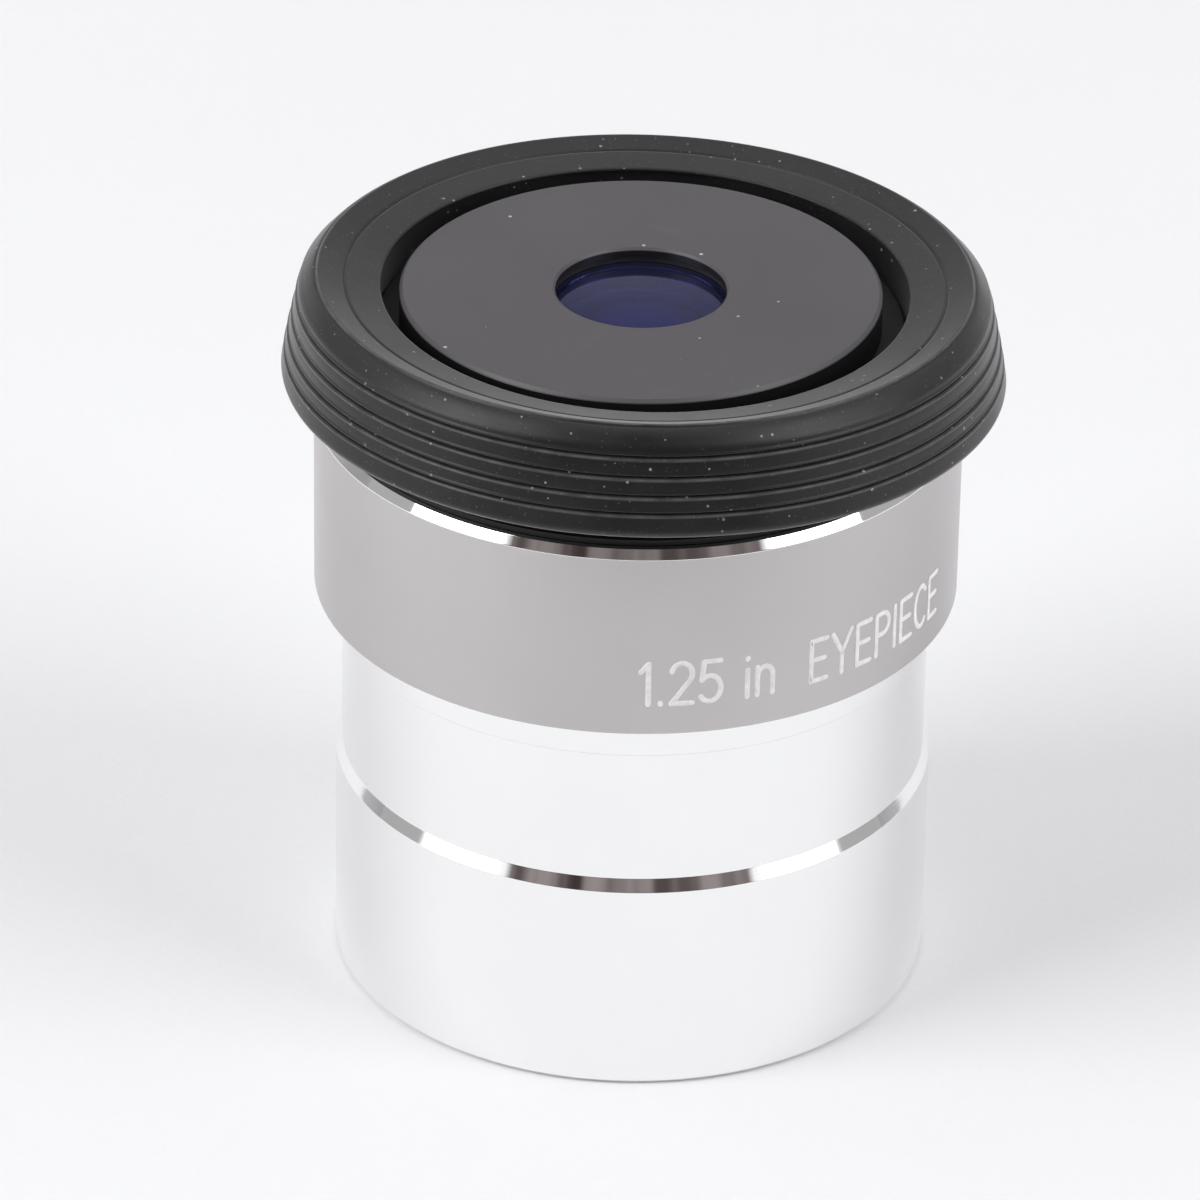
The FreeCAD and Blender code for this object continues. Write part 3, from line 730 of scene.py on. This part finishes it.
def optical_glass(name, clear, tinted, tint, index, level, passing):
    """Polished glass between two colours, which lets that share of the light pass. Its coating sends
    back light of the tint."""
    tree, shader, material = new_material(name)
    place = object_place(tree)
    cloud = use_group(tree, HANDLING, Place=place, Size=300.0, Low=0.0, High=1.0)["Value"]
    smear = use_group(tree, HANDLING, Place=place, Size=420.0, Low=0.0, High=0.008)["Value"]
    tree.links.new(blend_colour(tree, cloud, clear, tinted), shader.inputs["Base Color"])
    tree.links.new(smear, shader.inputs["Roughness"])
    shader.inputs["Transmission Weight"].default_value = passing
    shader.inputs["IOR"].default_value = index
    shader.inputs["Specular IOR Level"].default_value = level
    shader.inputs["Specular Tint"].default_value = tint
    return material


flint_finish = optical_glass(
    "coated_flint_glass",
    clear=(0.12, 0.135, 0.33, 1),
    tinted=(0.14, 0.155, 0.37, 1),
    tint=(0.12, 0.12, 1.0, 1),
    index=1.72,
    level=1.0,
    passing=0.92,
)
crown_finish = optical_glass(
    "crown_glass",
    clear=(0.80, 0.80, 0.92, 1),
    tinted=(0.84, 0.84, 0.95, 1),
    tint=(0.30, 0.28, 1.0, 1),
    index=1.52,
    level=0.5,
    passing=1.0,
)
for part in ("eye_flint_lens", "field_flint_lens"):
    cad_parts[part].data.materials[0] = flint_finish
for part in ("eye_crown_lens", "field_crown_lens"):
    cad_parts[part].data.materials[0] = crown_finish

# --- Eyeguard -------------------------------------------------------------------------------------
# One moulding of soft black rubber. Its bead grips the neck's groove, its wall rises to a fold, and its
# ribbed skirt hangs down outside. It was pushed on by hand, so it sits a little off centre and tipped.

OFFSET_X, TILT, FRONT_TILT = 0.22, np.radians(0.8), np.radians(1.0)
LIFT_FROM, LIFT_OVER = 13.9, 3.0
GROOVES = np.array([38.40, 37.36, 36.38, 35.46])


def set_askew(radius, height, angle, share):
    """Points of a ring pushed sideways and tipped by a share of the eyeguard's own offset and tilts. The
    lift at the front grows from nothing at the mouth to all of it at the crest."""
    x = radius * np.sin(angle)
    front = radius * np.cos(angle)
    lift = front * np.tan(FRONT_TILT) * np.clip((radius - LIFT_FROM) / LIFT_OVER, 0, 1)
    raised = height + (lift - x * np.tan(TILT)) * share
    return np.stack([x + OFFSET_X * share, -front, raised], axis=-1) * MM


tree, shader, rubber_finish = new_material("soft_black_rubber")
place = object_place(tree)
cloud = use_group(tree, HANDLING, Place=place, Size=130.0, Low=0.0, High=1.0)["Value"]
colour = blend_colour(tree, cloud, (0.0095, 0.0091, 0.0101, 1), (0.0145, 0.0139, 0.0151, 1))
specks = use_group(tree, DUST, Place=place, Share=0.50, Size=0.13, Specks_per_metre=1700.0)["Mask"]
lint = use_group(tree, DUST, Place=place, Share=0.60, Size=0.20, Specks_per_metre=4200.0)["Mask"]
faint_lint = number(tree, "MULTIPLY", lint, 0.08)
dust = number(tree, "MAXIMUM", number(tree, "MULTIPLY", specks, 0.45), faint_lint)
# The worn attribute lightens the rib lips, the crest and the rim edge: partly wear, partly a painted
# highlight for the light these edges catch.
worn = node(tree, "Attribute", attribute_name="worn").outputs["Fac"]
patchy = use_group(tree, HANDLING, Place=place, Size=900.0, Low=0.25, High=1.0)["Value"]
colour = blend_colour(tree, number(tree, "MULTIPLY", worn, patchy), colour, (0.155, 0.150, 0.155, 1))
colour = blend_colour(tree, dust, colour, (0.70, 0.70, 0.69, 1))
gloss = use_group(tree, HANDLING, Place=place, Size=260.0, Low=0.34, High=0.46)["Value"]
skin = node(tree, "TexNoise", {"Vector": place, "Scale": 5200.0, "Detail": 3.0})
waves = node(tree, "TexNoise", {"Vector": place, "Scale": 420.0, "Detail": 2.0})
skin_height = number(tree, "MULTIPLY_ADD", waves.outputs["Fac"], 2.0, skin.outputs["Fac"])
skin_bump = node(tree, "Bump", {"Height": skin_height, "Strength": 0.14, "Distance": 0.00003})
tree.links.new(colour, shader.inputs["Base Color"])
tree.links.new(gloss, shader.inputs["Roughness"])
tree.links.new(skin_bump.outputs["Normal"], shader.inputs["Normal"])
shader.inputs["Specular IOR Level"].default_value = 0.38
shader.inputs["Sheen Weight"].default_value = 0.42
shader.inputs["Sheen Roughness"].default_value = 0.35

COLLAR_INSIDE, COLLAR_OUTSIDE, BEAD_INSIDE = 13.95, 15.3, 13.18
COLLAR_FOOT, BEAD_FOOT, BEAD_TOP, COLLAR_TOP = 33.06, 33.6, 35.2, 35.6
collar_outline = rounded(
    [
        (COLLAR_INSIDE, COLLAR_FOOT, 0.05),
        (COLLAR_OUTSIDE, COLLAR_FOOT, 0.20),
        (COLLAR_OUTSIDE, COLLAR_TOP, 0.05),
        (COLLAR_INSIDE, COLLAR_TOP, 0.05),
        (COLLAR_INSIDE, BEAD_TOP, 0.05),
        (BEAD_INSIDE, BEAD_TOP, 0.08),
        (BEAD_INSIDE, BEAD_FOOT, 0.08),
        (COLLAR_INSIDE, BEAD_FOOT, 0.05),
    ]
)
collar = turned("eyeguard_bead", collar_outline, rubber_finish)
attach(collar, "eyeguard_base")
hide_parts("eyeguard_collar")

RUBBER_COLUMNS = 420


def ring_of_rubber(name, outline, share, wobble=None, worn=None):
    """A closed rubber ring from an outline and, for each of its points, the share of the eyeguard's offset
    that it takes. The wobble moves points up or down round the ring, as soft rubber never lies quite even.
    Worn is how far each of the outline's points is painted lighter grey: partly wear, partly a painted
    highlight for the light the edges catch."""
    angle = np.linspace(0, 2 * np.pi, RUBBER_COLUMNS, endpoint=False)[None, :]
    radius, height, angle = np.broadcast_arrays(outline[:, :1], outline[:, 1:], angle)
    if wobble:
        height = height + wobble(radius, height, angle)
    points = set_askew(radius, height, angle, share[:, None])
    mesh = grid_mesh(name, points)
    rubbed = np.zeros(len(outline)) if worn is None else worn
    each_point = np.repeat(rubbed, RUBBER_COLUMNS).astype(np.float32)
    mesh.attributes.new("worn", "FLOAT", "POINT").data.foreach_set("value", each_point)
    return new_piece(name, mesh, rubber_finish)


# The real sleeve stretches when the skirt is rolled up; here it is cut into short rows.
SLEEVE_INSIDE, SLEEVE_OUTSIDE = 13.98, 15.3
SLEEVE_FOOT, SLEEVE_RISE = 35.55, 3.45
rise = np.linspace(0, 1, 24)
sleeve_outside = np.stack([SLEEVE_OUTSIDE + 0.2 * rise**2, SLEEVE_FOOT + SLEEVE_RISE * rise], axis=1)
sleeve_inside = np.stack([SLEEVE_INSIDE + 0.04 * rise**2, SLEEVE_FOOT + SLEEVE_RISE * rise], axis=1)[::-1]
sleeve_outline = np.concatenate([sleeve_outside, sleeve_inside])
sleeve_share = np.concatenate([rise, rise[::-1]])
sleeve = ring_of_rubber("eyeguard_wall", sleeve_outline, sleeve_share)
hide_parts("eyeguard_sleeve")
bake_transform(sleeve)


SLOPE_TOP, SLOPE_TOP_RADIUS, SLOPE_SPREAD = 38.7, 18.0, 0.2159
RIB_SPACING = 0.98


def ribbed_slope(height):
    """The skirt's outer radius at a height: a straight slope less a narrow notch under each rib, with a
    raised lip above and below the notch, and ribs that bulge a little between them."""
    base = SLOPE_TOP_RADIUS + SLOPE_SPREAD * (SLOPE_TOP - height)
    above_notch = height[:, None] - GROOVES
    notch = 0.17 * np.exp(-(((above_notch + 0.06) / 0.055) ** 2))
    upper_lip = 0.035 * np.exp(-(((above_notch - 0.09) / 0.07) ** 2))
    lower_lip = 0.045 * np.exp(-(((above_notch + 0.20) / 0.055) ** 2))
    step = np.clip((GROOVES[0] - height) / RIB_SPACING, 0, 3)
    crown = 0.03 * np.sin(np.pi * (step - np.floor(step))) * (height < GROOVES[0]) * (height > GROOVES[3])
    return base + crown + (upper_lip + lower_lip - notch).sum(axis=1)


near_grooves = GROOVES[:, None] + np.linspace(-0.36, 0.22, 24)
slope_height = np.concatenate([np.linspace(38.85, 34.75, 30), near_grooves.ravel()])
slope_height = np.unique(slope_height.round(4))[::-1]
slope = np.stack([ribbed_slope(slope_height), slope_height], axis=1)
rim = bow(18.45, 34.42, 0.46, 0.42, 12, -168)
under = np.array(
    [
        [17.75, 34.9],
        [17.35, 36.0],
        [17.0, 37.2],
        [16.7, 38.0],
        [16.3, 38.35],
        [15.8, 38.45],
        [15.55, 38.6],
        [15.5, 38.95],
    ]
)
mouth = np.array(
    [[14.3, 38.83], [13.92, 38.83], [13.79, 38.86], [13.75, 38.91], [13.78, 38.96], [13.86, 38.99]]
)
# The top rises a little from the mouth to a crease, and more steeply from there to the crest.
TOP_START, CREASE_RADIUS, TOP_END, TOP_FOOT = 13.95, 15.66, 16.92, 39.00
top_radius = np.linspace(TOP_START, TOP_END, 62)
past_crease = top_radius - CREASE_RADIUS
climb = 0.15 * 0.5 * (past_crease + np.sqrt(past_crease**2 + 0.003))
crease = 0.09 * np.exp(-((past_crease / 0.07) ** 2))
top = np.stack([top_radius, TOP_FOOT + 0.17 * (top_radius - TOP_START) + climb - crease], axis=1)
# The crest is a fine edge with a narrow channel just outside it, and the shoulder falls away from there.
shoulder = np.array(
    [
        [16.98, 39.695],
        [17.03, 39.70],
        [17.07, 39.68],
        [17.09, 39.64],
        [17.12, 39.59],
        [17.17, 39.565],
        [17.22, 39.565],
        [17.28, 39.54],
        [17.4, 39.45],
        [17.55, 39.31],
        [17.7, 39.15],
        [17.82, 39.0],
    ]
)
skirt_outline = np.concatenate([mouth, top, shoulder, slope, rim, under])[::-1]


def skirt_wobble(radius, height, angle):
    """Slow waves of up to a tenth of a millimetre, strongest low on the skirt, where the rubber is free."""
    loose = np.clip((39.0 - height) / 4.5, 0, 1) * (radius > 16.6)
    waves = 0.05 * np.sin(2 * angle + 0.7) + 0.035 * np.sin(3 * angle + 2.1)
    return (waves + 0.02 * np.sin(7 * angle + 0.4)) * loose


# Lighter grey on the rib lips, the crest and the rim edge: partly wear, partly a painted highlight.
outline_radius, outline_height = skirt_outline.T
past_lip = outline_height[:, None] - GROOVES + 0.19
on_lips = np.exp(-((past_lip / 0.06) ** 2)).sum(axis=1) * (outline_radius > 17.9)
on_crest = np.exp(-(((outline_radius - 17.035) / 0.035) ** 2)) * (outline_height > 39.6)
on_rim = np.exp(-(((outline_radius - 18.62) / 0.09) ** 2)) * (outline_height < 34.2)
edge_light_and_wear = np.clip(0.55 * on_lips + 0.8 * on_crest + 1.0 * on_rim, 0, 1)
whole_share = np.ones(len(skirt_outline))
skirt = ring_of_rubber("eyeguard_fold", skirt_outline, whole_share, skirt_wobble, edge_light_and_wear)
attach(skirt, "eyeguard_skirt")
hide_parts("eyeguard_skirt")
